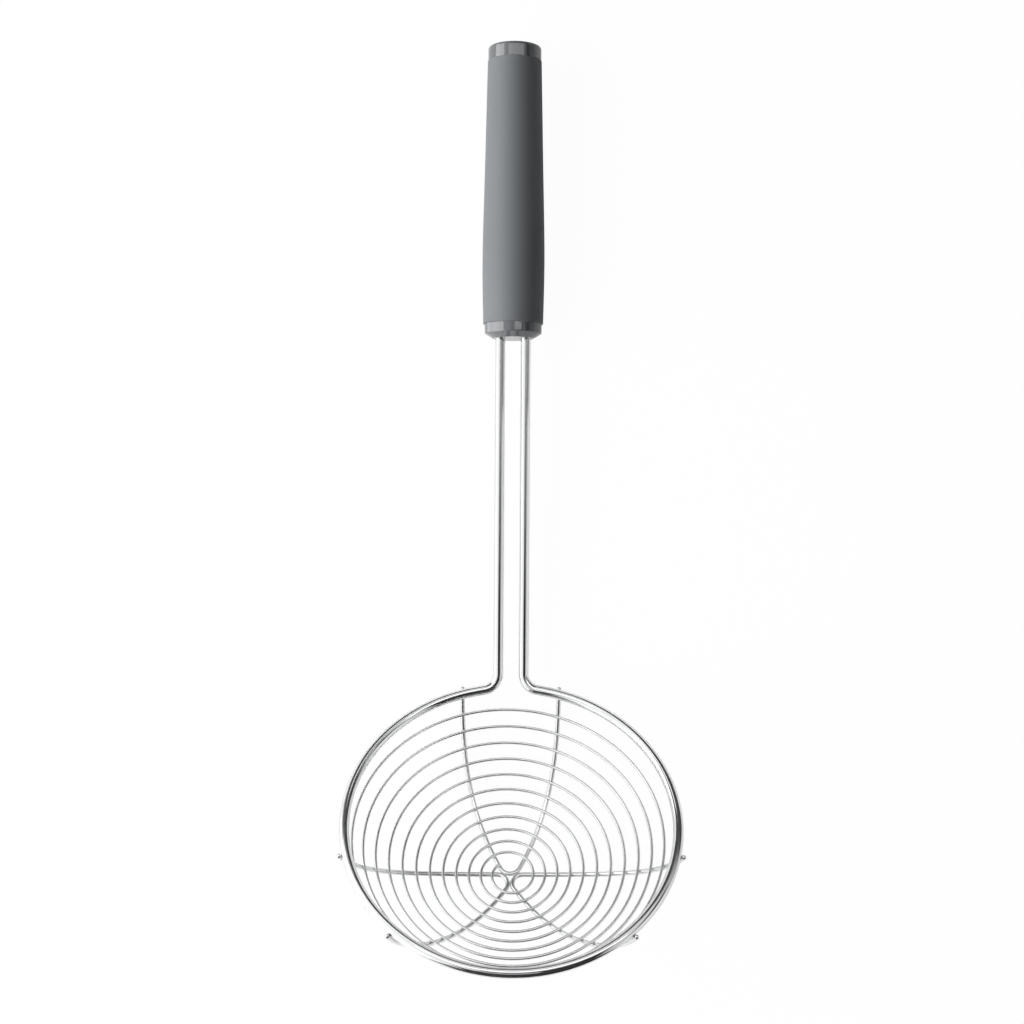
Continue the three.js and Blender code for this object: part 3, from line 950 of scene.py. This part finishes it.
black_card = card_finish("black card", BLACK)
grey_card = card_finish("grey card", GREY)
hanging_finish = fading_card_finish("hanging card", HANGING_BLACK, PALE, "Y", -0.12, 0.35)
right_finish = fading_card_finish("right card", DARK, PALE, "Z", 0.14, 0.24)
left_finish = fading_card_finish("left card", DARK, PALE, "Z", 0.13, 0.19)
right_profile = [(NEAR_CARDS_AT, CARD_FOOT), (NEAR_CARDS_AT, 0.24)]
reflected_card("black_card_right", 0.03, 0.42, right_profile, right_finish)
left_profile = [(NEAR_CARDS_AT, CARD_FOOT), (NEAR_CARDS_AT, 0.2)]
reflected_card("black_card_left", -0.17, -0.03, left_profile, left_finish)
reflected_card("grey_card_behind", -0.45, 0.45, [(1.1, CARD_FOOT), (1.1, 0.45)], grey_card)
reflected_card("black_card_front", -0.37, 0.88, [(-0.85, 0.04), (-0.85, 0.7)], black_card)
reflected_card("hanging_card", -0.2, 0.95, [(-0.22, HANGING_HEIGHT), (0.2, HANGING_HEIGHT)], hanging_finish)
front_profile = [(-0.45, HANGING_HEIGHT), (-0.22, HANGING_HEIGHT)]
reflected_card("hanging_card_front", 0.24, 0.95, front_profile, hanging_finish)

# %% [markdown]
# ## The room behind
#
# The world stands for the room: pale walls near the horizon, which low views show behind the tool and
# metal mirrors, and a dark ceiling above them. For all other rays the whole room is dim, so the walls
# look bright without adding light to the object.

# %% Paint the room
WALL_BRIGHTNESS = 0.92
WALLS_IN_METAL = 0.5
WALL_FADES_FROM, WALL_FADES_TO = 0.24, 0.5
ROOM_BRIGHTNESS = 0.05

world = bpy.data.worlds.new("studio")
world.use_nodes = True
world.node_tree.nodes.clear()
bpy.context.scene.world = world
start = Tone(world.node_tree)
direction = start.node("ShaderNodeTexCoord", output="Generated")
height = start.node("ShaderNodeSeparateXYZ", {}, {"Vector": direction}, output="Z")
settings = {"interpolation_type": "SMOOTHSTEP"}
limits = {"From Min": WALL_FADES_TO, "From Max": WALL_FADES_FROM}
wall = start.node("ShaderNodeMapRange", settings, {"Value": height, **limits})
brightness = ROOM_BRIGHTNESS + WALL_BRIGHTNESS * wall * seen_rays(start, WALLS_IN_METAL)
background = start.node("ShaderNodeBackground", {}, {"Color": (1, 1, 1, 1), "Strength": brightness})
start.node("ShaderNodeOutputWorld", {}, {"Surface": background})
print(f"room: walls {WALL_BRIGHTNESS}, elsewhere {ROOM_BRIGHTNESS}")

# %% [markdown]
# ## Camera
#
# The picture is a flat lay, taken from nearly straight above, a little over the rods. The tool is long
# and its rim stands up from the table, so the camera's height matters: it sets how much larger the near
# rim looks.

# %% Place the camera
FOCAL_LENGTH = 66.69
CAMERA_PLACE = (-0.011496, -0.048429, 0.805511)
CAMERA_TURN = np.radians([2.9008, -0.8496, 0.3527])

lens = bpy.data.cameras.new("camera")
lens.sensor_width = 36
lens.lens = FOCAL_LENGTH
camera = bpy.data.objects.new("camera", lens)
camera.location = CAMERA_PLACE
camera.rotation_euler = CAMERA_TURN
bpy.context.collection.objects.link(camera)
bpy.context.scene.camera = camera
bpy.context.scene.view_settings.view_transform = "Standard"
print("camera:", tuple(camera.location))
